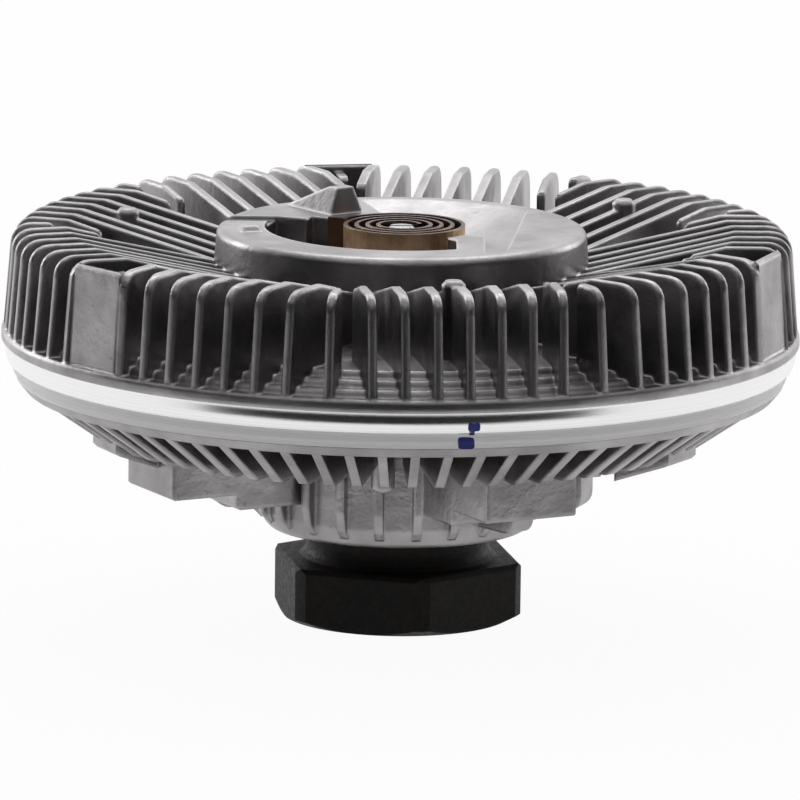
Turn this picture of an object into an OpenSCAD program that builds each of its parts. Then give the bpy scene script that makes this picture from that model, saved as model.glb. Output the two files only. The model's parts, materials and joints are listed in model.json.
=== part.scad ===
// Viscous fan clutch: a finned front cover and a finned rear housing turn on a ball bearing
// round a hexagon drive shaft. A bimetal coil in the cover's hub turns the valve inside.
// Millimetres, +Z up along the axis, origin at the middle of the hexagon's lower face.

/* [Drive shaft] */
// Width across the hexagon's flats
hex_af = 57; // [54:0.5:58]
// Diameter of the round bar that the hexagon is milled from
hex_bar_d = 63.6; // [62:0.2:64.4]
// Height of the hexagon
hex_h = 15; // [12:0.5:20]
// Angle of one hexagon corner about the axis
hex_turn = -79; // [-90:0.5:-30]
// Diameter of the collar above the hexagon
collar_d = 45; // [42:1:48]
// Height of the collar above the hexagon
collar_h = 7.2; // [6:0.1:8]
// Radius of the threaded socket
socket_r = 14.2; // [10:0.1:16]
// Depth of the threaded socket
socket_depth = 19; // [15:0.5:20]
// Gap between the collar and the neck
nut_gap = 0.8; // [0.5:0.1:2]

/* [Bearing] */
// Bore diameter of the bearing
bearing_bore_d = 25; // [23:0.5:26]
// Outside diameter of the bearing
bearing_d = 52; // [51:0.5:54]
// Width of the bearing
bearing_w = 20.6; // [20:0.2:22]
// Ball diameter
ball_d = 7.2; // [6:0.1:7.6]
// Balls in each row
ball_count = 12; // [8:1:13]

/* [Rear housing] */
// Height from the neck's lower edge to the lower edge of the fins
neck_h = 23.7; // [22.5:0.1:26]
// Outside diameter of the neck
neck_d = 70; // [68:0.5:71]
// Diameter over the ribs on the neck
rib_d = 75.6; // [74:0.2:80]
// Height of the sloping part of the fins
slope_h = 11; // [9:0.1:12]
// Diameter at the inner end of the slope
slope_in_d = 154; // [146:1:160]
// Height of the flange below the cover's lip
flange_h = 6.5; // [6:0.1:8]
// Fins under the housing, in threes
rear_fins = 72; // [60:3:78]
// Fin thickness
fin_t = 2.2; // [1.6:0.1:2.6]
// Width of a fan lug
lug_w = 24.5; // [22:0.5:28]
// Distance across the outer faces of opposite fan lugs
lug_span = 138; // [136:1:142]
// Height of the fan lugs below the fins
lug_h = 10.4; // [9:0.1:12]
// Distance across the pilot shoulders of opposite lugs
pilot_d = 103; // [98:1:105]
// Height of the pilot shoulders below the lugs
pilot_h = 3.8; // [2:0.1:6]
// Pitch circle of the fan bolts
bolt_pcd = 118; // [116:1:121]
// Radius of the tapped hole in each lug
bolt_r = 3.4; // [2.5:0.1:4.2]
// Depth of the tapped hole in each lug
bolt_depth = 14; // [10:0.5:16]

/* [Front cover] */
// Outside diameter of the finned base ring
ring_d = 198; // [196:0.5:204]
// Height of the turned rim
rim_h = 5.4; // [5:0.1:7]
// Height of the base ring
ring_h = 3; // [2.4:0.1:3.4]
// Height of the fins above the base ring
fin_h = 25; // [23:0.5:30]
// Fins side by side in each of the nine groups
group_fins = 7; // [5:2:7]
// Distance between the fins of a group
fin_pitch = 7.75; // [6.5:0.05:7.8]
// Drop of the fins' top edge from its crest to the hub
fin_drop = 8.5; // [5:0.1:9]
// Diameter of the hub
hub_d = 92; // [90:0.5:96]
// Depth of the coil's well in the hub
well_depth = 10.6; // [10:0.1:12]
// Height of the coil's anchor post above the hub
post_h = 6.5; // [4:0.1:8]

/* [Rotor and valve] */
// Concentric lands on the rotor
land_count = 6; // [3:1:6]
// Distance between the lands
land_pitch = 3.8; // [3.4:0.1:3.9]
// Thickness of a land
land_t = 1.4; // [1:0.1:1.5]
// Thickness of the rotor's disc
rotor_t = 4; // [3.6:0.1:4.4]
// Diameter of the valve shaft
valve_shaft_d = 7; // [6:0.1:7.4]
// Reach of the valve arm
arm_reach = 34; // [28:0.5:36]
// Thickness of the valve plate
plate_t = 1.2; // [1:0.1:1.3]

/* [Bimetal coil] */
// Thickness of the strip
strip_t = 1; // [0.7:0.1:1.2]
// Width of the strip
strip_w = 9.5; // [7:0.1:10]
// Distance between turns
coil_pitch = 2.7; // [2.2:0.05:2.75]
// Turns of the coil
coil_turns = 4.4; // [3.4:1:4.4]

/* [Hidden] */
$fn = 96;
eps = 0.01;

// Clearances
run_clear = 0.05;
seat_clear = 0.02;
free_gap = 0.8;
cover_fit = 0.1;

// Small edges, how deep a foot sits in its casting and how far a cut runs past a face
edge = 1;
fine_edge = 0.6;
ring_edge = 1.1;
arc_steps = 4;
sink = 2;
over = 1;

// Colours
black_steel = [0.1, 0.09, 0.09];
bright_steel = [0.72, 0.72, 0.74];
cast_aluminium = [0.66, 0.66, 0.68];
bimetal = [0.55, 0.45, 0.27];
dark_rubber = [0.08, 0.08, 0.08];
bronze = [0.7, 0.52, 0.3];

// Heights, from the drive face up
collar_z = hex_h + collar_h;
neck_z = collar_z + nut_gap;
neck_lip = 3;
bearing_z = neck_z + neck_lip;
bearing_top_z = bearing_z + bearing_w;
fin_plane_z = neck_z + neck_h;
flange_z = fin_plane_z + slope_h;
lip_z = flange_z + flange_h;
lip_h = 2.5;
seat_z = lip_z + lip_h;
ring_z = lip_z + rim_h;
ledge_z = ring_z + ring_h;
top_z = ledge_z + fin_h;
lug_z = fin_plane_z - lug_h;
pilot_z = lug_z - pilot_h;

// Small steps of the turned rim
rim_step = 0.8;
rim_draft = 0.2;
rim_land = 2.3;
rim_groove = 0.3;
rim_line = 4.1;
rim_toe = 2.6;

// Radii of the casings
ring_r = ring_d / 2;
flange_r = ring_r - 3;
chamber_r = ring_r - 10;
hub_r = hub_d / 2;
neck_r = neck_d / 2;
rib_r = rib_d / 2;
slope_in_r = slope_in_d / 2;
lug_r = lug_span / 2;
pilot_r = pilot_d / 2;
bearing_r = bearing_d / 2;
journal_r = bearing_bore_d / 2;
hex_bar_r = hex_bar_d / 2;
collar_r = collar_d / 2;
cove_r = 4.2;
hex_foot = 1.8;
hex_step = 60;
shoulder_r = journal_r + 4;

// Walls of the working chamber and the reservoir
floor_t = 5;
floor_z = flange_z + 2.8;
valley_z = floor_z - floor_t;
roof_z = ledge_z + 0.9;
step_count = 3;
step_h = 1.7;
step_w = 3.6;
step_in = 3.3;
step_lean = 0.5;
shell_z = ledge_z + step_count * step_h;
well_z = top_z - well_depth;
well_t = 4;
reservoir_z = well_z - well_t;
reservoir_r = hub_r - 6;
rotor_rim = 5.1;
land_r = chamber_r - rotor_rim - (land_count - 1) * land_pitch;
plate_r = land_r - land_pitch / 2 - 5.5;
plate_seat_w = 7;
plate_seat_z = roof_z - 2.3;
plate_z = plate_seat_z - plate_t;

// Fins of the cover
sectors = 9;
sector_step = 360 / sectors;
sector_turn = -80;
pad_turn = -140;
pad_count = 3;
fin_end_r = ring_r - 0.6;
crest_in_r = ring_r - 16;
corner_r = 5;
corner_steps = 5;
fin_lean = 1.5;
fin_root = 1.6;
pad_w = 17.4;
pad_wall = 3;
boss_r = 2.9;
boss_in_r = crest_in_r - 10;
boss_drop = 0.4;
short_in_r = crest_in_r + 3;

// Top of the hub
hub_draft = 1.4;
hub_edge = 2.4;
hub_edge_turn = 20;
pocket_turn = -203;
pocket_sweep = 150;
pocket_r = hub_r - 12;
pocket_depth = 7;
bridge_x = 13.5;
bridge_w = 7;
bowl_r = hub_r - 5;
bowl_floor_r = 24;
bowl_depth = 6;
bowl_wall_front = 24.5;
bowl_wall_back = 33;
bowl_end = 12;
slot_w = 4.8;
slot_l = 9;
channel_y = 6;
channel_depth = 1.2;
stop_turn = 191;
stop_half = 3.6;
stop_h = 1.3;
post_turn = 127;
post_r = 22.5;
post_top_l = 4.5;
post_half_w = 2.4;
post_half_foot = 6.5;
post_foot = 4;

// Rear fins and lugs
rear_fin_turn = -82.5;
rear_fin_out_r = flange_r - 4;
rear_fin_in_r = rib_r + 9;
rear_fin_heel = 1.4;
valley_in_r = chamber_r - 11;
lug_count = 4;
lug_turn = -62;
rear_pads = [-30, 95, -154.5];
web_turns = [-20, 95, -161];
rear_pad_w = 14;
rear_pad_drop = 5;
rear_pad_in_r = slope_in_r - 12;
rear_pad_out_r = slope_in_r + 3;
web_t = 9;
web_r = pilot_r - 2;
web_corner = 4;
web_z = lug_z - 6.2;
lug_web_turn = lug_turn + 10.5;
lug_web_t = 6;
lug_web_z = lug_z - 8.2;
rear_boss_turn = -95;
rear_boss_r = rib_r + 6;
rear_boss_z = fin_plane_z - 7.3;
rear_corner_r = 4.5;
neck_edge = 2.6;
neck_edge_h = 4.5;
neck_fillet = 3;
bearing_lip = 3;

// Seal between the castings and its groove
seal_in_r = chamber_r + 2.2;
seal_w = 2.7;
seal_depth = 2.5;
seal_r = 1.2;

// Rotor
shaft_tip_r = journal_r - 1.5;
rotor_z = floor_z + free_gap;
rotor_top_z = rotor_z + rotor_t;
rotor_hub_r = journal_r + 3;
rotor_r = chamber_r - 3;
rotor_ring_t = 1.2;
rotor_ring_out = 2;
rotor_ring_open = 7;
rotor_hub_h = 1;
rotor_hub_z = rotor_top_z + rotor_hub_h;
land_top_z = roof_z - 1.2;
cover_land_z = rotor_top_z + 1;
tip_z = plate_z - 1.2;

// Bearing
ball_r = ball_d / 2;
pitch_r = (journal_r + bearing_r) / 2 + 0.1;
race_clear = 0.1;
ring_gap = 5.2;
row_z = [bearing_z + bearing_w * 0.29, bearing_z + bearing_w * 0.71];
shield_t = 0.8;
circlip_t = 1.5;
circlip_depth = 1.2;
circlip_open = 8;
shield_gap = 0.4;
cage_t = 1.8;
cage_gap = 0.7;

// Valve and coil
valve_r = valve_shaft_d / 2;
bush_r = valve_r + 2;
bush_wall = 3;
arm_t = 1.2;
arm_hub = 2.6;
arm_cover = 1.2;
valve_clip_t = 0.8;
valve_clip_gap = 0.45;
valve_clip_depth = 0.8;
valve_clip_out = 1.6;
valve_clip_open = 3.6;
valve_clip_z = reservoir_z - well_t - valve_clip_gap - valve_clip_t;
valve_seal_r = 0.75;
valve_seal_w = 1.8;
valve_seal_lift = 0.2;
valve_collar_r = valve_r + 1.4;
valve_collar_t = 1;
valve_collar_z = well_z + 0.3;
valve_head_drop = 0.4;
head_slot_w = 1.4;
head_slot_depth = 2.6;
arm_z = plate_seat_z + 0.3;
coil_z = well_z + 1.8;
coil_gap = 0.55;
coil_r = valve_r + coil_gap + strip_t / 2;
coil_end_r = coil_r + coil_pitch * coil_turns;
coil_end_turn = -206;
coil_tail = 3.5;
coil_steps = 40;
well_gap = 1.9;
well_r = coil_end_r + strip_t / 2 + well_gap;
screw_count = 4;
screw_r = 2;
screw_circle_r = plate_r - 3.5;
screw_head_r = screw_r + 1.6;
screw_head_h = 1.4;
screw_grip = 4;
port_r = 3;
port_circle_r = arm_reach - 4;
screw_turn = 20;

// Points on an arc of a plane outline
function arc(c, r, from, to, steps) =
    [for (i = [0:steps]) let (a = from + (to - from) * i / steps) c + r * [cos(a), sin(a)]];

// Distance along a fin at which it reaches a radius, for a fin beside the group's middle line
function along(r, offset) = sqrt(max(r * r - offset * offset, 1));

// A plate that stands on edge along a radius, beside it by an offset, from an outline of distance and height
module plate(turn, thickness, offset = 0)
    rotate([0, 0, turn])
        translate([0, offset + thickness / 2, 0])
            rotate([90, 0, 0])
                linear_extrude(thickness) children();

// Outline of a cover fin: root in the shell, sloping top edge, crest, round corner and leaning outer edge
module cover_fin_outline(offset, in_r) {
    side = abs(offset) + fin_t / 2;
    in_u = along(in_r, offset);
    out_u = along(fin_end_r, side);
    step_u = along(chamber_r + over, side);
    crest_u = along(crest_in_r, offset);
    top_u = out_u - fin_lean;
    in_z = top_z - fin_drop * max(crest_u - in_u, 0) / (crest_in_r - hub_r);
    polygon(concat(
        [[in_u, roof_z + fin_root], [in_u, in_z - edge], [in_u + edge, in_z]],
        in_u < crest_u - sink ? [[crest_u, top_z]] : [],
        arc([top_u - corner_r, top_z - corner_r], corner_r, 90, 0, corner_steps),
        [[out_u, ledge_z + edge], [out_u, ledge_z - fin_root], [step_u, ledge_z - fin_root],
         [step_u, roof_z + fin_root]]));
}

// One group of parallel cover fins
module fin_group(turn) {
    half = (group_fins - 1) / 2;
    boundary = sector_step / 2;
    for (i = [-half:half]) {
        offset = i * fin_pitch;
        meet_r = (abs(offset) + fin_t) / sin(boundary);
        in_r = meet_r > hub_r + fin_pitch ? meet_r : hub_r - sink;
        plate(turn, fin_t, offset) cover_fin_outline(offset, in_r);
    }
}

// A flat-faced pad between two groups of fins: a wall with a rib behind its middle
module cover_pad(turn) {
    out_u = along(fin_end_r, pad_w / 2) - fine_edge;
    in_u = out_u - pad_wall;
    step_u = along(chamber_r + over, fin_t / 2);
    rib_z = top_z - fin_drop / 4;
    pad_z = top_z - fine_edge / 2;
    plate(turn, pad_w)
        polygon([[in_u, ledge_z - fin_root], [in_u, pad_z - fine_edge], [in_u + fine_edge, pad_z],
                 [out_u - fin_lean - edge, pad_z], [out_u - fin_lean, pad_z - edge],
                 [out_u, ledge_z + edge], [out_u, ledge_z - fin_root]]);
    plate(turn, fin_t)
        polygon([[short_in_r, roof_z + fin_root], [short_in_r, rib_z - edge],
                 [short_in_r + edge, rib_z], [in_u + edge, rib_z],
                 [in_u + edge, ledge_z - fin_root], [step_u, ledge_z - fin_root],
                 [step_u, roof_z + fin_root]]);
}

// Section of the cover from the lip round the outside to the axis and back along the inside
module cover_section() {
    seat_r = flange_r + cover_fit;
    skirt_r = ring_r - rim_step;
    polygon(concat(
        [[seat_r, lip_z], [seat_r + rim_step, lip_z], [seat_r + rim_step + fine_edge, lip_z + fine_edge],
         [skirt_r, seat_z + cover_fit], [skirt_r + rim_draft, ring_z - rim_draft],
         [skirt_r + rim_step / 2, ring_z], [ring_r, ring_z + rim_step / 2]],
        arc([ring_r - ring_edge, ledge_z - ring_edge], ring_edge, 0, 90, arc_steps),
        [for (i = [0:step_count - 1]) let (r = ring_r - step_in - step_w * i, z = ledge_z + i * step_h)
            each [[r, z], [r - step_lean, z + step_h - fine_edge], [r - step_lean - fine_edge, z + step_h]]],
        [[hub_r + hub_draft, shell_z]],
        arc([hub_r - hub_edge, top_z - hub_edge], hub_edge, hub_edge_turn, 90, arc_steps),
        [[0, top_z], [0, reservoir_z], [reservoir_r - edge, reservoir_z], [reservoir_r, reservoir_z - edge],
         [reservoir_r, roof_z + edge], [plate_r - plate_seat_w, roof_z + edge],
         [plate_r - plate_seat_w, plate_seat_z], [plate_r + fine_edge, plate_seat_z],
         [plate_r + fine_edge, roof_z]],
        [for (i = [0:land_count - 1]) let (r = land_r - land_pitch / 2 + i * land_pitch)
            each [[r - land_t / 2, roof_z], [r - land_t / 2, cover_land_z],
                  [r + land_t / 2, cover_land_z], [r + land_t / 2, roof_z]]],
        [[chamber_r, roof_z], [chamber_r, seat_z], [seat_r, seat_z]]));
}

// Anchor post beside the coil: steep towards the axis, with a long slope out to the rim
module anchor_post()
    rotate([0, 0, post_turn])
        intersection() {
            plate(0, 2 * post_half_foot)
                polygon([[post_r, top_z - post_foot], [post_r + edge, top_z + post_h],
                         [post_r + post_top_l, top_z + post_h], [hub_r - sink, top_z - edge],
                         [hub_r - sink, top_z - post_foot]]);
            rotate([90, 0, 90])
                linear_extrude(hub_r)
                    polygon([[-post_half_foot, top_z - post_foot], [-post_half_w, top_z + post_h + eps],
                             [post_half_w, top_z + post_h + eps], [post_half_foot, top_z - post_foot]]);
        }

// Low stop on the rim, at the end of the open pocket, with sloping sides
module rim_stop() {
    slope = [[-stop_half, top_z - over], [sink - stop_half, top_z + stop_h],
             [stop_half - sink, top_z + stop_h], [stop_half, top_z - over]];
    rotate([0, 0, stop_turn])
        translate([pocket_r + stop_half + fine_edge, 0, 0])
            intersection() {
                plate(0, 2 * stop_half) polygon(slope);
                plate(90, 2 * stop_half) polygon(slope);
            }
}

// Shallow bowl on the right of the coil and behind it, with a straight wall on its right
module hub_bowl()
    intersection() {
        rotate_extrude()
            polygon([[0, top_z - bowl_depth], [bowl_floor_r, top_z - bowl_depth], [bowl_r, top_z + eps],
                     [bowl_r, top_z + over], [0, top_z + over]]);
        translate([0, 0, well_z])
            linear_extrude(well_depth + 2 * over)
                polygon([[0, 0], [bridge_x + bridge_w, -bridge_x], [bridge_x + bridge_w, -hub_r],
                         [bowl_wall_front, -hub_r], [bowl_wall_back, hub_r], [-bowl_end, hub_r]]);
    }

// Recesses in the top of the hub: coil well, open pocket, bowl, anchor slot and a channel to the rim
module hub_recesses() {
    translate([0, 0, well_z]) cylinder(r = well_r, h = well_depth + over);
    intersection() {
        rotate([0, 0, pocket_turn])
            rotate_extrude(angle = pocket_sweep)
                translate([well_r - over, top_z - pocket_depth])
                    square([pocket_r - well_r + over, pocket_depth + over]);
        translate([-hub_r, -hub_r, well_z]) cube([hub_r + bridge_x, 2 * hub_r, well_depth + 2 * over]);
    }
    hub_bowl();
    rotate([0, 0, coil_end_turn])
        translate([well_r - sink, -slot_w / 2, well_z + over]) cube([slot_l, slot_w, well_depth]);
    translate([-hub_r - over, channel_y, top_z - channel_depth])
        cube([hub_r - pocket_r + 2 * sink, pocket_depth, channel_depth + over]);
}

// Ejector boss with a rounded end, from one height up to another
module boss(r, low_z, high_z)
    rotate_extrude($fn = 32)
        polygon([[0, low_z], [r, low_z], [r, high_z - edge], [r - edge, high_z], [0, high_z]]);

// Casting before its recesses, holes and bush bore are cut
module cover_blank() {
    rotate_extrude() cover_section();
    for (s = [0:sectors - 1]) fin_group(sector_turn + s * sector_step);
    for (s = [0:sectors - 1])
        if (s % pad_count != 1)
            plate(sector_turn + (s + 0.5) * sector_step, fin_t)
                cover_fin_outline(0, short_in_r);
    for (p = [0:pad_count - 1]) cover_pad(pad_turn + p * 360 / pad_count);
    for (p = [0:pad_count - 1])
        rotate([0, 0, sector_turn + p * 360 / pad_count])
            translate([boss_in_r, 0, 0]) boss(boss_r, roof_z + fin_root, top_z - boss_drop);
    translate([0, 0, reservoir_z - well_t]) cylinder(r = bush_r + bush_wall, h = well_t + over);
}

module front_cover()
    color(cast_aluminium) {
        difference() {
            cover_blank();
            hub_recesses();
            translate([0, 0, reservoir_z - well_t - over])
                cylinder(r = bush_r + seat_clear, h = 2 * well_t + well_depth);
            for (s = [0:screw_count - 1])
                rotate([0, 0, screw_turn + s * 360 / screw_count])
                    translate([screw_circle_r, 0, plate_seat_z - over])
                        cylinder(r = screw_r + seat_clear, h = screw_grip + over + fine_edge);
        }
        rim_stop();
        anchor_post();
    }

// Outline of a rear fin with its root in the housing, and every third one with its rib down the neck
module rear_fin_outline(with_rib) {
    slope_turn = atan2(slope_h, rear_fin_out_r - slope_in_r) - 90;
    in_r = with_rib ? neck_r - sink : rear_fin_in_r;
    rib_foot = with_rib
        ? [[in_r, neck_z + neck_edge_h], [neck_r - fine_edge, neck_z + sink],
           [rib_r - edge, neck_z + neck_edge_h], [rib_r, neck_z + 2 * neck_edge_h], [rib_r, fin_plane_z]]
        : [[in_r, fin_plane_z]];
    polygon(concat(
        [[in_r, valley_z + over]],
        rib_foot,
        arc([slope_in_r - rear_corner_r / 2, fin_plane_z + rear_corner_r],
            rear_corner_r, -90, slope_turn, arc_steps),
        [[rear_fin_out_r, flange_z], [rear_fin_out_r, flange_z + rear_fin_heel],
         [chamber_r - edge, floor_z - fin_root], [valley_in_r + edge, valley_z + over]]));
}

// Outline of a fan lug: pilot shoulder at the neck, flat seat and flat outer face
module lug_outline()
    polygon([[neck_r - sink, valley_z + over], [neck_r - sink, pilot_z], [pilot_r - edge, pilot_z],
             [pilot_r, pilot_z + edge], [pilot_r, lug_z], [lug_r - fine_edge, lug_z],
             [lug_r, lug_z + fine_edge], [lug_r, valley_z + over]]);

// A thick web that ties the neck to the floor, with a round outer corner at its foot
module neck_web(turn, thickness, foot_z)
    plate(turn, thickness)
        polygon(concat(
            [[neck_r - sink, valley_z + over], [neck_r - sink, foot_z]],
            arc([web_r - web_corner, foot_z + web_corner], web_corner, -90, 0, corner_steps),
            [[web_r, valley_z + over]]));

// A block under the floor that runs out along the fins' slope
module rear_pad(turn)
    plate(turn, rear_pad_w)
        polygon([[rear_pad_in_r, valley_z + over], [rear_pad_in_r, fin_plane_z - rear_pad_drop],
                 [rear_pad_out_r - edge, fin_plane_z], [rear_pad_out_r, fin_plane_z + edge],
                 [rear_pad_out_r, flange_z], [rear_pad_out_r - web_corner, valley_z + over]]);

// Section of the housing from the seal groove round the outside, down the neck and up the inside
module housing_section() {
    opening_r = bearing_r - bearing_lip;
    groove_z = bearing_top_z + seat_clear;
    groove_top_z = groove_z + circlip_t + 2 * run_clear;
    toe_r = flange_r - rim_toe;
    polygon([
        [seal_in_r + seal_w, seat_z], [flange_r, seat_z], [flange_r, lip_z - rim_land],
        [flange_r - fine_edge, lip_z - rim_land - rim_groove], [flange_r - rim_step, lip_z - rim_line],
        [toe_r, flange_z + rim_draft], [toe_r - rim_step, flange_z],
        [toe_r - rim_step - edge, flange_z + edge], [chamber_r - edge, valley_z + fin_root],
        [valley_in_r, valley_z + rim_step / 2], [neck_r + neck_fillet, valley_z],
        [neck_r, valley_z - neck_fillet], [neck_r, neck_z + neck_edge_h],
        [neck_r - neck_edge + edge, neck_z + edge], [neck_r - neck_edge, neck_z],
        [opening_r, neck_z], [opening_r, bearing_z], [bearing_r + seat_clear, bearing_z],
        [bearing_r + seat_clear, groove_z], [bearing_r + circlip_depth, groove_z],
        [bearing_r + circlip_depth, groove_top_z], [bearing_r + seat_clear, groove_top_z],
        [bearing_r + seat_clear, groove_top_z + sink], [opening_r + edge, groove_top_z + 2 * sink],
        [opening_r + edge, floor_z - sink], [opening_r + edge + sink, floor_z],
        [chamber_r - fine_edge, floor_z],
        [chamber_r, floor_z + fine_edge], [chamber_r, seat_z], [seal_in_r, seat_z],
        [seal_in_r, seat_z - seal_depth], [seal_in_r + seal_w, seat_z - seal_depth]]);
}

module rear_housing()
    color(cast_aluminium)
        difference() {
            union() {
                rotate_extrude() housing_section();
                for (i = [0:rear_fins - 1])
                    plate(rear_fin_turn + i * 360 / rear_fins, fin_t) rear_fin_outline(i % 3 == 0);
                for (i = [0:lug_count - 1]) plate(lug_turn + i * 360 / lug_count, lug_w) lug_outline();
                for (turn = rear_pads) rear_pad(turn);
                for (turn = web_turns) neck_web(turn, web_t, web_z);
                neck_web(lug_web_turn, lug_web_t, lug_web_z);
                for (p = [0:pad_count - 1])
                    rotate([180, 0, rear_boss_turn + p * 360 / pad_count])
                        translate([rear_boss_r, 0, 0]) boss(boss_r, -valley_z - over, -rear_boss_z);
            }
            for (i = [0:lug_count - 1])
                rotate([0, 0, lug_turn + i * 360 / lug_count])
                    translate([bolt_pcd / 2, 0, lug_z - over]) cylinder(r = bolt_r, h = bolt_depth + over);
        }

module cover_seal()
    color(dark_rubber)
        rotate_extrude()
            translate([seal_in_r + seal_w / 2, seat_z - seal_depth / 2]) circle(r = seal_r, $fn = 24);

// One pair of opposite flats of the hexagon, with broken upper edges
module hex_flats(pair) {
    flat_r = hex_af / 2;
    plate(hex_turn + hex_step / 2 + hex_step * pair, 2 * hex_bar_r)
        polygon([[-flat_r, 0], [flat_r, 0], [flat_r, hex_h - edge], [flat_r - edge, hex_h],
                 [edge - flat_r, hex_h], [-flat_r, hex_h - edge]]);
}

// Hexagon with turned corners, a coved collar, the bearing journal and the rotor seat
module drive_shaft() {
    flat_r = hex_af / 2;
    clip_w = rotor_ring_t + 2 * run_clear;
    color(black_steel)
        difference() {
            union() {
                intersection() {
                    hex_flats(0);
                    hex_flats(1);
                    hex_flats(2);
                    rotate_extrude()
                        polygon([[0, 0], [flat_r, 0], [hex_bar_r, hex_foot],
                                 [hex_bar_r, hex_h], [0, hex_h]]);
                }
                rotate_extrude()
                    polygon(concat(
                        [[0, hex_h - sink], [collar_r + cove_r, hex_h - sink]],
                        arc([collar_r + cove_r, hex_h + cove_r - fine_edge], cove_r, 270, 180, corner_steps),
                        [[collar_r, collar_z - fine_edge], [collar_r - fine_edge, collar_z],
                         [shoulder_r, collar_z], [shoulder_r, bearing_z], [journal_r, bearing_z],
                         [journal_r, bearing_top_z], [shaft_tip_r, bearing_top_z],
                         [shaft_tip_r, rotor_hub_z],
                         [shaft_tip_r - edge, rotor_hub_z], [shaft_tip_r - edge, rotor_hub_z + clip_w],
                         [shaft_tip_r, rotor_hub_z + clip_w], [shaft_tip_r, tip_z - edge],
                         [shaft_tip_r - edge, tip_z], [0, tip_z]]));
            }
            rotate_extrude()
                polygon([[0, -over], [socket_r + 2 * edge + over, -over], [socket_r + 2 * edge, 0],
                         [socket_r, 2 * edge], [socket_r, socket_depth], [0, socket_depth]]);
        }
}

// Raceway cut for both rows of balls
module raceways()
    for (z = row_z)
        rotate_extrude()
            translate([pitch_r, z]) circle(r = ball_r + race_clear, $fn = 48);

module bearing_inner_ring()
    color(bright_steel)
        difference() {
            rotate_extrude()
                translate([journal_r + seat_clear, bearing_z])
                    square([pitch_r - ring_gap / 2 - journal_r - seat_clear, bearing_w]);
            raceways();
        }

module bearing_outer_ring()
    color(bright_steel)
        difference() {
            rotate_extrude()
                translate([pitch_r + ring_gap / 2, bearing_z])
                    square([bearing_r - pitch_r - ring_gap / 2, bearing_w]);
            raceways();
        }

module bearing_balls()
    color(bright_steel)
        for (row = [0:1], i = [0:ball_count - 1])
            rotate([0, 0, (i + row / 2) * 360 / ball_count])
                translate([pitch_r, 0, row_z[row]]) sphere(r = ball_r, $fn = 48);

module bearing_cage()
    color(bronze)
        difference() {
            rotate_extrude()
                translate([pitch_r - cage_t / 2, bearing_z + shield_t + cage_gap])
                    square([cage_t, bearing_w - 2 * (shield_t + cage_gap)]);
            for (row = [0:1], i = [0:ball_count - 1])
                rotate([0, 0, (i + row / 2) * 360 / ball_count])
                    translate([pitch_r - cage_t, 0, row_z[row]])
                        rotate([0, 90, 0]) cylinder(r = ball_r + race_clear, h = 2 * cage_t, $fn = 48);
        }

// A shield carried by the outer ring, clear of the inner one
module shield(z)
    color(dark_rubber)
        rotate_extrude()
            translate([pitch_r - ring_gap / 2 + shield_gap, z])
                square([ring_gap - shield_gap - seat_clear, shield_t]);

module bearing_lower_shield() shield(bearing_z);

module bearing_upper_shield() shield(bearing_top_z - shield_t);

module bearing_circlip()
    color(bright_steel)
        translate([0, 0, bearing_top_z + seat_clear + run_clear])
            difference() {
                cylinder(r = bearing_r + circlip_depth - run_clear, h = circlip_t);
                translate([0, 0, -over]) cylinder(r = bearing_r - bearing_lip, h = circlip_t + 2 * over);
                translate([0, -circlip_open / 2, -over])
                    cube([bearing_r + circlip_depth, circlip_open, circlip_t + 2 * over]);
            }

// Disc with a hub on the shaft and concentric lands that run between those of the cover
module rotor()
    color(cast_aluminium)
        rotate_extrude()
            polygon(concat(
                [[shaft_tip_r + seat_clear, bearing_top_z + seat_clear],
                 [rotor_hub_r, bearing_top_z + seat_clear],
                 [rotor_hub_r, rotor_z - sink], [rotor_hub_r + sink, rotor_z], [rotor_r, rotor_z],
                 [rotor_r, rotor_top_z]],
                [for (i = [land_count - 1:-1:0]) let (r = land_r + i * land_pitch)
                    each [[r + land_t / 2, rotor_top_z], [r + land_t / 2, land_top_z],
                          [r - land_t / 2, land_top_z], [r - land_t / 2, rotor_top_z]]],
                [[rotor_hub_r + sink, rotor_top_z], [rotor_hub_r + sink - rotor_hub_h, rotor_hub_z],
                 [shaft_tip_r + seat_clear, rotor_hub_z]]));

module rotor_retaining_ring()
    color(bright_steel)
        translate([0, 0, rotor_hub_z + run_clear])
            difference() {
                cylinder(r = shaft_tip_r + rotor_ring_out, h = rotor_ring_t);
                translate([0, 0, -over])
                    cylinder(r = shaft_tip_r - edge + seat_clear, h = rotor_ring_t + 2 * over);
                translate([0, -rotor_ring_open / 2, -over])
                    cube([shaft_tip_r + rotor_ring_out + over, rotor_ring_open, rotor_ring_t + 2 * over]);
            }

// Plate between the reservoir and the rotor, with its ports and screw holes
module valve_plate()
    color(bright_steel)
        translate([0, 0, plate_z])
            difference() {
                cylinder(r = plate_r, h = plate_t);
                for (side = [0, 180])
                    rotate([0, 0, side])
                        translate([port_circle_r, 0, -over]) cylinder(r = port_r, h = plate_t + 2 * over);
                for (s = [0:screw_count - 1])
                    rotate([0, 0, screw_turn + s * 360 / screw_count])
                        translate([screw_circle_r, 0, -over])
                            cylinder(r = screw_r + seat_clear, h = plate_t + 2 * over);
            }

module valve_plate_screws()
    color(bright_steel)
        for (s = [0:screw_count - 1])
            rotate([0, 0, screw_turn + s * 360 / screw_count])
                translate([screw_circle_r, 0, 0])
                    rotate_extrude($fn = 32)
                        polygon([[0, plate_z - screw_head_h],
                                 [screw_head_r - fine_edge, plate_z - screw_head_h],
                                 [screw_head_r, plate_z - screw_head_h + fine_edge], [screw_head_r, plate_z],
                                 [screw_r, plate_z], [screw_r, plate_seat_z + screw_grip],
                                 [0, plate_seat_z + screw_grip]]);

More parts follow.
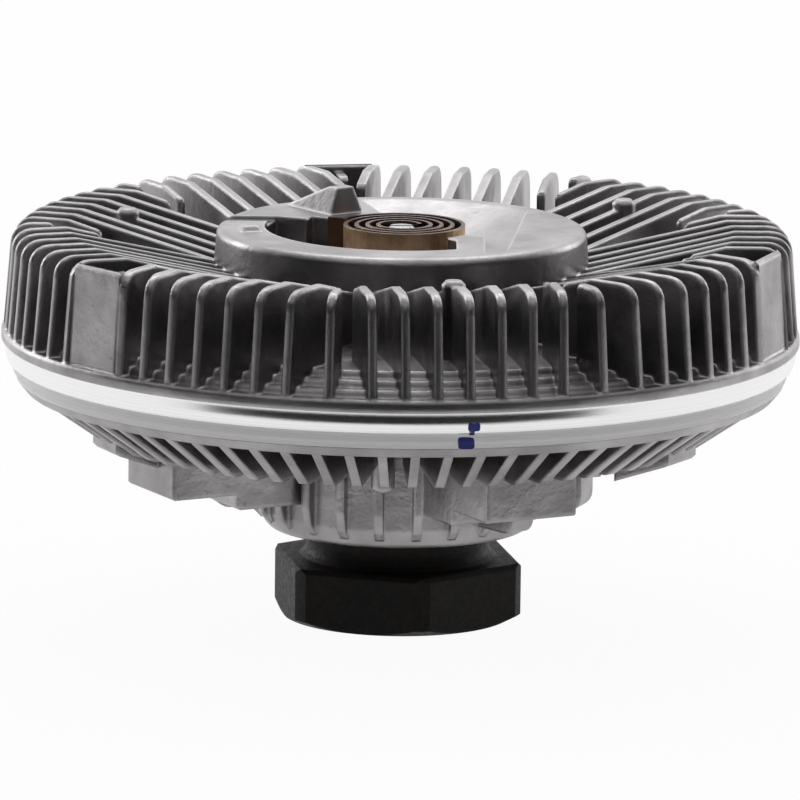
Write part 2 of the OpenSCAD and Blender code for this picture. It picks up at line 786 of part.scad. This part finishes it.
module valve_bush()
    color(bronze)
        rotate_extrude()
            translate([valve_r + run_clear, reservoir_z - well_t])
                square([bush_r - valve_r - run_clear, 2 * well_t]);

// Shaft with a collar above the bush, a seal groove, a clip groove and a slot across its head
module valve_shaft() {
    clip_r = valve_r - valve_clip_depth;
    clip_low_z = valve_clip_z - run_clear;
    clip_high_z = valve_clip_z + valve_clip_t + run_clear;
    seal_low_z = reservoir_z - valve_seal_w / 2;
    seal_high_z = reservoir_z + valve_seal_w / 2;
    groove_r = valve_r - valve_seal_w + valve_seal_lift;
    head_z = coil_z + strip_w - valve_head_drop;
    color(bright_steel)
        difference() {
            rotate_extrude()
                polygon([[0, arm_z], [valve_r, arm_z], [valve_r, clip_low_z], [clip_r, clip_low_z],
                         [clip_r, clip_high_z], [valve_r, clip_high_z], [valve_r, seal_low_z],
                         [groove_r, seal_low_z], [groove_r, seal_high_z], [valve_r, seal_high_z],
                         [valve_r, valve_collar_z], [valve_collar_r, valve_collar_z],
                         [valve_collar_r, valve_collar_z + valve_collar_t],
                         [valve_r, valve_collar_z + valve_collar_t],
                         [valve_r, head_z - fine_edge], [valve_r - fine_edge, head_z], [0, head_z]]);
            translate([-valve_r - over, -head_slot_w / 2, head_z - head_slot_depth])
                cube([2 * (valve_r + over), head_slot_w, head_slot_depth + over]);
        }
}

module valve_arm()
    color(bright_steel)
        translate([0, 0, arm_z])
            difference() {
                union() {
                    cylinder(r = valve_r + arm_hub, h = arm_t);
                    translate([-port_circle_r, -port_r, 0]) cube([2 * port_circle_r, 2 * port_r, arm_t]);
                    for (side = [-1, 1])
                        translate([side * port_circle_r, 0, 0]) cylinder(r = port_r + arm_cover, h = arm_t);
                }
                translate([0, 0, -over]) cylinder(r = valve_r + seat_clear, h = arm_t + 2 * over);
            }

module valve_shaft_seal()
    color(dark_rubber)
        rotate_extrude()
            translate([valve_r - valve_seal_r - seat_clear, reservoir_z]) circle(r = valve_seal_r, $fn = 24);

module valve_shaft_clip()
    color(bright_steel)
        translate([0, 0, valve_clip_z])
            difference() {
                cylinder(r = valve_r + valve_clip_out, h = valve_clip_t);
                translate([0, 0, -over])
                    cylinder(r = valve_r - valve_clip_depth + seat_clear, h = valve_clip_t + 2 * over);
                translate([0, -valve_clip_open / 2, -over])
                    cube([valve_r + valve_clip_out + over, valve_clip_open, valve_clip_t + 2 * over]);
            }

// Point at the middle of the strip after a share of its turns
function coil_point(turns, side) =
    let (a = coil_end_turn - 360 * (coil_turns - turns),
         r = coil_r + coil_pitch * turns + side * strip_t / 2)
        r * [cos(a), sin(a)];

// A point of a plane outline, turned about the axis
function turned(p, a) = [p.x * cos(a) - p.y * sin(a), p.x * sin(a) + p.y * cos(a)];

// Flat spiral of strip, whose outer end is bent out into the slot beside the post
module bimetal_coil() {
    steps = coil_steps * coil_turns;
    bend_r = coil_end_r + strip_t / 2;
    tip_x = bend_r + coil_tail;
    outer = [for (i = [0:steps - 1]) coil_point(coil_turns * i / steps, 1)];
    tail = [[along(bend_r, strip_t), -strip_t], [tip_x, -strip_t], [tip_x, 0]];
    inner = [for (i = [steps:-1:0]) coil_point(coil_turns * i / steps, -1)];
    color(bimetal)
        translate([0, 0, coil_z])
            linear_extrude(strip_w)
                polygon(concat(outer, [for (p = tail) turned(p, coil_end_turn)], inner));
}

drive_shaft();
bearing_inner_ring();
rotor();
rotor_retaining_ring();
bearing_balls();
bearing_cage();
rear_housing();
front_cover();
cover_seal();
bearing_outer_ring();
bearing_circlip();
bearing_lower_shield();
bearing_upper_shield();
valve_plate();
valve_plate_screws();
valve_bush();
bimetal_coil();
valve_shaft();
valve_arm();
valve_shaft_seal();
valve_shaft_clip();
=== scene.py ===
"""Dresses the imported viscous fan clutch: camera, studio light, rounded fins and procedural finishes."""

import json
import math

import bpy
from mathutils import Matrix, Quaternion, Vector


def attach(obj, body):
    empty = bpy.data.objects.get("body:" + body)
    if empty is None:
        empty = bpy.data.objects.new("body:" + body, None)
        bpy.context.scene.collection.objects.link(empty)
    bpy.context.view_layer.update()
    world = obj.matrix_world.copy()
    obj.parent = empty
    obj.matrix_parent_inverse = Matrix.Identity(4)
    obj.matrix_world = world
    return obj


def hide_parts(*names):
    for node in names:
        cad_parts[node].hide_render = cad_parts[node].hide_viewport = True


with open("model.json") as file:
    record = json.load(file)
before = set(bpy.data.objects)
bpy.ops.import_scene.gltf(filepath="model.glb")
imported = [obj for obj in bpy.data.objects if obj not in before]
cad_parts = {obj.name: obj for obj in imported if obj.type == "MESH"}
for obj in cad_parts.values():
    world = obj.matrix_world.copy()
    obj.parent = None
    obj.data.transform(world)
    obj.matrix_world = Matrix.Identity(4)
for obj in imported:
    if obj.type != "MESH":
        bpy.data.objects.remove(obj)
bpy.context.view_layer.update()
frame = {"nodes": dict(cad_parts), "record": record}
nodes = frame["nodes"]
scene = bpy.context.scene
scene.view_settings.view_transform = "Standard"

MM = 0.001

# Camera: the photograph's viewing angle, its width at the axis and its slight tilt
VIEW_ELEVATION = math.radians(10.9)
VIEW_ROLL = math.radians(0.7)
VIEW_DISTANCE = 2.5
VIEW_WIDTH = 198.8 * MM
VIEW_AIM = Vector((0.1 * MM, 0, 53.9 * MM))
VIEW_END = 100
SENSOR_WIDTH = 36.0

# Heights of the turned rim and of the joint of its castings, and the radius it starts at
RIM_LOW = 60.2 * MM
RIM_HIGH = 69.6 * MM
RIM_STEP = 64.2 * MM
RIM_RADIUS = 93.0 * MM
RIM_BLUR = 0.15 * MM
STEP_BLUR = 0.1 * MM

# Fins that are rounded: their foot and body, and where the hub's side begins
FIN_FOOT = 69.9 * MM
FIN_BODY = 80 * MM
FIN_INNER = 50 * MM
FIN_ROUND = 0.8 * MM
FIN_SEGMENTS = 3
WELD_REACH = 0.002 * MM
FLAT_ANGLE = math.radians(0.5)

# Three pads and three bosses, in degrees about the axis, and the room they are given
THIRD_TURN = 120
PAD_TURN = 100
PAD_CLEAR = 8.5
BOSS_TURN = 40
BOSS_CLEAR = 3.2
BOSS_RADIUS = 73 * MM
BOSS_REACH = 3.6 * MM

# The coil's tail lies to the left of this
TAIL_X = -13.5 * MM

# The part of a noise's range that holds nearly all of it
NOISE_LOW = 0.3
NOISE_HIGH = 0.7

# Sockets of the mix node, which has one pair for each kind of data
MIX_NUMBERS = (2, 3)
MIX_COLOURS = (6, 7)
MIX_COLOUR_OUT = 2


def add_camera():
    """A long lens, so that the perspective is as weak as in the photograph."""
    data = bpy.data.cameras.new("camera")
    data.sensor_width = SENSOR_WIDTH
    data.lens = SENSOR_WIDTH * VIEW_DISTANCE / VIEW_WIDTH
    data.clip_end = VIEW_END
    camera = bpy.data.objects.new("camera", data)
    scene.collection.objects.link(camera)
    back = Vector((0, -math.cos(VIEW_ELEVATION), math.sin(VIEW_ELEVATION)))
    camera.location = VIEW_AIM + back * VIEW_DISTANCE
    level = (-back).to_track_quat("-Z", "Y")
    camera.rotation_mode = "QUATERNION"
    camera.rotation_quaternion = level @ Quaternion((0, 0, 1), VIEW_ROLL)
    scene.camera = camera


class Tree:
    """Short calls to add and join shader nodes."""

    def __init__(self, owner):
        owner.use_nodes = True
        self.tree = owner.node_tree
        self.tree.nodes.clear()

    def put(self, socket, value):
        """Sets a socket, or links it where the value is another node's output."""
        if isinstance(value, bpy.types.NodeSocket):
            self.tree.links.new(value, socket)
        else:
            socket.default_value = value

    def add(self, kind, inputs=None, **settings):
        made = self.tree.nodes.new(kind)
        for name, value in settings.items():
            setattr(made, name, value)
        for name, value in (inputs or {}).items():
            self.put(made.inputs[name], value)
        return made

    def math(self, operation, a, b=0.0):
        made = self.add("ShaderNodeMath", operation=operation)
        self.put(made.inputs[0], a)
        self.put(made.inputs[1], b)
        return made.outputs[0]

    def blend(self, factor, a, b):
        """A colour between a and b."""
        made = self.add("ShaderNodeMix", data_type="RGBA")
        self.put(made.inputs["Factor"], factor)
        for socket, value in zip(MIX_COLOURS, (a, b)):
            self.put(made.inputs[socket], value)
        return made.outputs[MIX_COLOUR_OUT]

    def between(self, factor, a, b):
        """A number between a and b."""
        made = self.add("ShaderNodeMix", {"Factor": factor})
        for socket, value in zip(MIX_NUMBERS, (a, b)):
            self.put(made.inputs[socket], value)
        return made.outputs[0]

    def span(self, value, low, high, to_low=0.0, to_high=1.0):
        """Takes low..high smoothly to to_low..to_high, and stays level outside."""
        made = self.add("ShaderNodeMapRange", interpolation_type="SMOOTHSTEP")
        self.put(made.inputs["Value"], value)
        self.put(made.inputs["From Min"], low)
        self.put(made.inputs["From Max"], high)
        self.put(made.inputs["To Min"], to_low)
        self.put(made.inputs["To Max"], to_high)
        return made.outputs["Result"]

    def spread(self, noise, to_low=0.0, to_high=1.0):
        """Takes a noise to the whole of to_low..to_high."""
        return self.span(noise, NOISE_LOW, NOISE_HIGH, to_low, to_high)

    def noise(self, vector, size, detail=3.0, roughness=0.55):
        """Noise whose largest features are about size metres across."""
        made = self.add("ShaderNodeTexNoise", {"Vector": vector, "Scale": 1 / size})
        made.inputs["Detail"].default_value = detail
        made.inputs["Roughness"].default_value = roughness
        return made.outputs["Fac"]

    def axes(self, vector):
        made = self.add("ShaderNodeSeparateXYZ", {"Vector": vector})
        return made.outputs["X"], made.outputs["Y"], made.outputs["Z"]

    def vector(self, x, y, z):
        made = self.add("ShaderNodeCombineXYZ", {"X": x, "Y": y, "Z": z})
        return made.outputs["Vector"]

    def dot(self, ax, ay, bx, by):
        """The product of two level vectors."""
        return self.math("ADD", self.math("MULTIPLY", ax, bx), self.math("MULTIPLY", ay, by))

    def rays(self):
        """Masks of camera rays and of rays that metal and glass send on."""
        path = self.add("ShaderNodeLightPath").outputs
        mirrored = self.math("MAXIMUM", path["Is Glossy Ray"], path["Is Transmission Ray"])
        return path["Is Camera Ray"], mirrored

    def bump(self, height, strength, distance, normal):
        made = self.add("ShaderNodeBump", {"Strength": strength, "Distance": distance,
                                           "Height": height, "Normal": normal})
        return made.outputs[0]

    def surface(self, shader):
        """Joins a shader to the material's output."""
        output = self.add("ShaderNodeOutputMaterial")
        self.put(output.inputs["Surface"], shader.outputs[0])


def grey(value):
    return (value, value, value, 1)


def build_world():
    """White to the camera; a bright sweep behind the object and a dim room in front."""
    sweep_edge = (0.12, 0.6)
    ceiling_edge = (0.35, 0.95)
    ceiling_share = 0.75
    dim = 0.012
    lit = 0.72
    world = bpy.data.worlds.new("studio")
    scene.world = world
    t = Tree(world)
    direction = t.add("ShaderNodeTexCoord").outputs["Generated"]
    _, ahead, up = t.axes(direction)
    sweep = t.span(ahead, *sweep_edge)
    ceiling = t.span(up, *ceiling_edge)
    bright = t.math("MAXIMUM", sweep, t.math("MULTIPLY", ceiling, ceiling_share))
    level = t.span(bright, 0.0, 1.0, dim, lit)
    by_camera, mirrored = t.rays()
    seen = t.math("MAXIMUM", by_camera, t.math("MULTIPLY", mirrored, sweep))
    strength = t.math("MAXIMUM", level, seen)
    background = t.add("ShaderNodeBackground", {"Color": grey(1), "Strength": strength})
    output = t.add("ShaderNodeOutputWorld")
    t.put(output.inputs["Surface"], background.outputs[0])


def add_sheet(name, low, high, height):
    """A level sheet of the studio, with an empty material."""
    mesh = bpy.data.meshes.new(name)
    corners = [(low[0], low[1], height), (high[0], low[1], height),
               (high[0], high[1], height), (low[0], high[1], height)]
    mesh.from_pydata(corners, [], [(0, 1, 2, 3)])
    sheet = bpy.data.objects.new(name, mesh)
    scene.collection.objects.link(sheet)
    material = bpy.data.materials.new(name)
    mesh.materials.append(material)
    return sheet, Tree(material)


def add_floor():
    """A wide pale floor that is near white to the camera and keeps the soft shadow."""
    half = 12.0
    paint = 0.95
    camera_glow = 0.95
    mirror_glow = 0.7
    _, t = add_sheet("floor", (-half, -half), (half, half), 0.0)
    diffuse = t.add("ShaderNodeBsdfDiffuse", {"Color": grey(paint)})
    glow = t.add("ShaderNodeEmission", {"Color": grey(1), "Strength": 1.0})
    by_camera, mirrored = t.rays()
    seen = t.math("MULTIPLY", by_camera, camera_glow)
    mix = t.add("ShaderNodeMixShader")
    t.put(mix.inputs[0], t.math("MAXIMUM", seen, t.math("MULTIPLY", mirrored, mirror_glow)))
    t.put(mix.inputs[1], diffuse.outputs[0])
    t.put(mix.inputs[2], glow.outputs[0])
    t.surface(mix)


def add_dark_card():
    """A dark card on the floor in front, out of the picture, that the metal reflects."""
    half = 0.8
    near = -0.19
    far = -3.0
    lift = 1 * MM
    paint = 0.03
    card, t = add_sheet("dark_card", (-half, far), (half, near), lift)
    card.visible_camera = False
    card.visible_shadow = False
    card.visible_diffuse = False
    t.surface(t.add("ShaderNodeBsdfDiffuse", {"Color": grey(paint)}))


def add_lamp(name, place, width, depth, watts):
    """A soft box that points at the middle of the clutch."""
    data = bpy.data.lights.new(name, "AREA")
    data.shape = "RECTANGLE"
    data.size = width
    data.size_y = depth
    data.energy = watts
    lamp = bpy.data.objects.new(name, data)
    scene.collection.objects.link(lamp)
    lamp.location = place
    lamp.rotation_mode = "QUATERNION"
    lamp.rotation_quaternion = (VIEW_AIM - Vector(place)).to_track_quat("-Z", "Y")
    lamp.visible_camera = False


def add_lamps():
    lamps = [
        # name, place, width and depth in metres, watts
        ("top_box", (0.0, 0.75, 1.35), 1.5, 0.8, 7.5),
        ("left_box", (-1.2, 0.95, 0.55), 0.4, 0.8, 5),
        ("right_box", (1.2, 0.95, 0.55), 0.4, 0.8, 2.5),
    ]
    for lamp in lamps:
        add_lamp(*lamp)


def start_material(name):
    """A new material, its nodes, and the place on the piece."""
    material = bpy.data.materials.new(name)
    t = Tree(material)
    return material, t, t.add("ShaderNodeTexCoord").outputs["Object"]


def finish_surface(t, normal, colour, rough, metallic=0.0, specular=0.5):
    """The shader of every finish, joined to the output."""
    shader = t.add("ShaderNodeBsdfPrincipled", {
        "Base Color": colour,
        "Roughness": rough,
        "Metallic": metallic,
        "Specular IOR Level": specular,
        "Normal": normal,
    })
    t.surface(shader)


def soft_edges(t, radius):
    """A rounded normal along sharp edges, and a mask of where it bends."""
    least_bend = 0.01
    full_bend = 0.22
    bevel = t.add("ShaderNodeBevel", {"Radius": radius}, samples=6).outputs[0]
    plain = t.add("ShaderNodeNewGeometry").outputs["Normal"]
    dot = t.add("ShaderNodeVectorMath", operation="DOT_PRODUCT")
    t.put(dot.inputs[0], bevel)
    t.put(dot.inputs[1], plain)
    bend = t.math("SUBTRACT", 1.0, dot.outputs["Value"])
    return bevel, t.span(bend, least_bend, full_bend)


def paint_mark(t, x, y, z, place):
    """A mask of dabs of marking paint across the joint of the castings."""
    dabs = [
        # x, z, half width, half height in millimetres
        (17.9, 66.1, 1.45, 1.2),
        (17.4, 64.4, 0.7, 0.7),
        (16.05, 61.7, 2.05, 1.55),
    ]
    corner_power = 5.0
    dab_edge = (1.15, 0.85)
    rag_size = 2.5 * MM
    rag_reach = 0.35
    streak_size = 0.8 * MM
    streak_stretch = 0.5
    streak_edge = (0.60, 0.68)
    streaks_from = (64.0 * MM, 65.0 * MM)
    ragged = t.span(t.noise(place, rag_size, 4.0), 0.25, 0.75, -rag_reach, rag_reach)
    along = t.vector(t.math("MULTIPLY", x, streak_stretch), 0.0, z)
    streak = t.noise(along, streak_size, 2.0)
    mask = 0.0
    for across, height, half_w, half_h in dabs:
        dx = t.math("DIVIDE", t.math("SUBTRACT", x, across * MM), half_w * MM)
        dz = t.math("DIVIDE", t.math("SUBTRACT", z, height * MM), half_h * MM)
        far = t.math("ADD", t.math("POWER", t.math("ABSOLUTE", dx), corner_power),
                     t.math("POWER", t.math("ABSOLUTE", dz), corner_power))
        dab = t.span(t.math("ADD", far, ragged), *dab_edge)
        mask = t.math("MAXIMUM", mask, dab)
    bare = t.math("MULTIPLY", t.span(streak, *streak_edge), t.span(z, *streaks_from))
    mask = t.math("MULTIPLY", mask, t.math("SUBTRACT", 1.0, bare))
    in_front = t.math("LESS_THAN", y, -RIM_RADIUS)
    return t.math("MULTIPLY", mask, in_front)


def cast_aluminium():
    """Satin die-cast skin, bright edges that are partly worn and partly a painted highlight where they
    face up, a turned rim and the paint mark.
    """
    skin_dark = (0.31, 0.297, 0.302, 1)
    skin_pale = (0.47, 0.452, 0.46, 1)
    speck_colour = (0.20, 0.185, 0.18, 1)
    paint_colour = (0.008, 0.014, 0.20, 1)
    worn_and_highlit_grey = 0.86
    turned_greys = (0.88, 0.97)
    skin_gloss = (0.30, 0.46)
    turned_gloss = (0.14, 0.22)
    matt_gloss = 0.3
    matt_dulling = 0.95
    paint_gloss = 0.55
    material, t, place = start_material("cast_aluminium")
    x, y, z = t.axes(place)
    radius = t.math("SQRT", t.dot(x, y, x, y))
    rounded, edge = soft_edges(t, 1.3 * MM)

    # Where the rim is turned, and the lower part of it that is matt
    above = t.span(z, RIM_LOW, RIM_LOW + RIM_BLUR)
    below = t.span(z, RIM_HIGH, RIM_HIGH - RIM_BLUR)
    outside = t.math("GREATER_THAN", radius, RIM_RADIUS)
    rim = t.math("MULTIPLY", t.math("MULTIPLY", above, below), outside)
    matt = t.math("MULTIPLY", rim, t.span(z, RIM_STEP, RIM_STEP - STEP_BLUR))

    # Colour: cloudy casting skin with dark specks, paler along edges: a little for wear, and more as a
    # painted highlight where the edges face up
    cloud = t.noise(place, 22 * MM, 4.0)
    speck = t.noise(place, 1.6 * MM, 3.0)
    skin = t.blend(t.spread(cloud), skin_dark, skin_pale)
    skin = t.blend(t.span(speck, 0.66, 0.74, 0.0, 0.6), skin, speck_colour)
    # Painted highlight: the paler edge colour is given to 0.1 of the edge mask where an edge faces
    # sideways or down, and to 0.75 where it faces up, as if lit from above
    _, _, up = t.axes(rounded)
    rubbed = t.math("MULTIPLY", edge, t.span(up, 0.1, 0.6, 0.1, 0.75))
    skin = t.blend(rubbed, skin, grey(worn_and_highlit_grey))
    rings = t.noise(t.vector(0.0, 0.0, z), 0.35 * MM, 2.0)
    turned = t.blend(t.spread(rings), grey(turned_greys[0]), grey(turned_greys[1]))
    paint = paint_mark(t, x, y, z, place)
    colour = t.blend(paint, t.blend(rim, skin, turned), paint_colour)

    # Gloss
    skin_rough = t.spread(t.noise(place, 9 * MM, 4.0), *skin_gloss)
    turned_rough = t.math("ADD", t.spread(rings, *turned_gloss), t.math("MULTIPLY", matt, matt_gloss))
    rough = t.between(rim, skin_rough, turned_rough)
    rough = t.math("MAXIMUM", rough, t.math("MULTIPLY", paint, paint_gloss))
    dull = t.math("MAXIMUM", paint, t.math("MULTIPLY", matt, matt_dulling))

    # Grain of the mould, with none on the turned rim
    fine = t.math("MULTIPLY", t.noise(place, 0.9 * MM, 4.0, 0.6), 0.5)
    grain = t.math("ADD", fine, t.noise(place, 3.2 * MM, 2.0))
    relief = t.math("MULTIPLY", grain, t.math("SUBTRACT", 1.0, rim))
    normal = t.bump(relief, 0.5, 0.25 * MM, rounded)
    finish_surface(t, normal, colour, rough, t.math("SUBTRACT", 1.0, dull))
    return material


def black_steel():
    """Phosphated steel: near black with a brown cast, rubbed paler on its edges."""
    dark = (0.006, 0.005, 0.0045, 1)
    pale = (0.014, 0.011, 0.009, 1)
    rubbed = (0.035, 0.028, 0.023, 1)
    rubbed_share = 0.5
    material, t, place = start_material("black_steel")
    rounded, edge = soft_edges(t, 0.6 * MM)
    cloud = t.noise(place, 14 * MM, 5.0)
    speck = t.noise(place, 1.1 * MM, 3.0)
    colour = t.blend(t.spread(cloud), dark, pale)
    colour = t.blend(t.math("MULTIPLY", edge, rubbed_share), colour, rubbed)
    normal = t.bump(speck, 0.25, 0.15 * MM, rounded)
    finish_surface(t, normal, colour, t.spread(speck, 0.45, 0.62), specular=0.2)
    return material


def bright_steel():
    """Ground steel with a fine speckle and paler edges."""
    material, t, place = start_material("bright_steel")
    rounded, edge = soft_edges(t, 0.25 * MM)
    speck = t.noise(place, 0.6 * MM, 3.0)
    colour = t.blend(t.spread(speck), grey(0.55), grey(0.70))
    colour = t.blend(edge, colour, grey(0.85))
    finish_surface(t, rounded, colour, t.spread(speck, 0.22, 0.36), metallic=1.0)
    return material


def bimetal():
    """Rolled strip: golden outside, dark inside, a brown tail, and dull brown sheared edges."""
    gold_dark = (0.55, 0.36, 0.20, 1)
    gold_pale = (0.80, 0.56, 0.34, 1)
    sheared_dark = (0.055, 0.028, 0.024, 1)
    sheared_pale = (0.13, 0.075, 0.062, 1)
    inner_colour = (0.05, 0.035, 0.03, 1)
    tail_colour = (0.26, 0.14, 0.08, 1)
    material, t, place = start_material("bimetal")
    x, y, _ = t.axes(place)
    out_x, out_y, up = t.axes(t.add("ShaderNodeNewGeometry").outputs["Normal"])
    top = t.span(t.math("ABSOLUTE", up), 0.5, 0.8)
    inner = t.math("LESS_THAN", t.dot(x, y, out_x, out_y), 0.0)
    tail = t.math("LESS_THAN", x, TAIL_X)
    tint = t.spread(t.noise(place, 4 * MM, 3.0))
    shaded = t.blend(tail, inner_colour, tail_colour)
    side = t.blend(inner, t.blend(tint, gold_dark, gold_pale), shaded)
    colour = t.blend(top, side, t.blend(tint, sheared_dark, sheared_pale))
    rough = t.spread(t.noise(place, 1.2 * MM, 3.0), 0.30, 0.46)
    rounded, _ = soft_edges(t, 0.2 * MM)
    finish_surface(t, rounded, colour, rough, metallic=0.85)
    return material


def plain_finish(name, low, high, gloss, metallic, size):
    """A finish for pieces that show little: a speckled colour with a fine grain."""
    material, t, place = start_material(name)
    speck = t.noise(place, size, 4.0)
    colour = t.blend(t.spread(speck), low, high)
    rounded, _ = soft_edges(t, 0.2 * MM)
    normal = t.bump(speck, 0.2, 0.1 * MM, rounded)
    finish_surface(t, normal, colour, t.spread(speck, *gloss), metallic)
    return material


def dress_nodes():
    """Each CAD node takes the finish of its slot in the record."""
    finishes = {
        "cast_aluminium": cast_aluminium(),
        "black_steel": black_steel(),
        "bright_steel": bright_steel(),
        "bimetal": bimetal(),
        "seal_rubber": plain_finish("seal_rubber", (0.014, 0.014, 0.015, 1),
                                    (0.03, 0.03, 0.032, 1), (0.6, 0.8), 0.0, 0.8 * MM),
        "bronze": plain_finish("bronze", (0.46, 0.29, 0.13, 1),
                               (0.62, 0.43, 0.22, 1), (0.3, 0.5), 1.0, 0.7 * MM),
    }
    for part in frame["record"]["subparts"]:
        mesh = nodes[part["node"]].data
        mesh.materials.clear()
        mesh.materials.append(finishes[part["material_slot"]])


def off_turn(turn, first):
    """Degrees from the nearest of three places that are a third of a turn apart."""
    half = THIRD_TURN / 2
    return abs((turn - first + half) % THIRD_TURN - half)


def is_fin_edge(ends):
    """True for edges of the cooling fins, away from the ring, the hub, the pads and the bosses."""
    for end in ends:
        radius = math.hypot(end.x, end.y)
        turn = math.degrees(math.atan2(end.y, end.x))
        if end.z < FIN_FOOT or radius < FIN_INNER or off_turn(turn, PAD_TURN) < PAD_CLEAR:
            return False
        if off_turn(turn, BOSS_TURN) < BOSS_CLEAR and abs(radius - BOSS_RADIUS) < BOSS_REACH:
            return False
    return max(end.z for end in ends) > FIN_BODY


def round_fins():
    """A copy of the cover with rounded fins. Sharp edges of its mesh are those with a single face."""
    mesh = nodes["front_cover"].data.copy()
    cover = bpy.data.objects.new("rounded_cover", mesh)
    scene.collection.objects.link(cover)
    faces = [0] * len(mesh.edges)
    for loop in mesh.loops:
        faces[loop.edge_index] += 1
    weights = mesh.attributes.new("bevel_weight_edge", "FLOAT", "EDGE")
    for edge in mesh.edges:
        if faces[edge.index] > 1:
            continue
        if is_fin_edge([mesh.vertices[index].co for index in edge.vertices]):
            weights.data[edge.index].value = 1.0
        else:
            edge.use_edge_sharp = True
    weld = cover.modifiers.new("weld", "WELD")
    weld.merge_threshold = WELD_REACH
    flat = cover.modifiers.new("flat", "DECIMATE")
    flat.decimate_type = "DISSOLVE"
    flat.angle_limit = FLAT_ANGLE
    bevel = cover.modifiers.new("round", "BEVEL")
    bevel.limit_method = "WEIGHT"
    bevel.width = FIN_ROUND
    bevel.segments = FIN_SEGMENTS
    bevel.use_clamp_overlap = False
    bevel.miter_outer = "MITER_ARC"
    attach(cover, "clutch_body")
    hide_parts("front_cover")


add_camera()
build_world()
add_floor()
add_dark_card()
add_lamps()
dress_nodes()
round_fins()
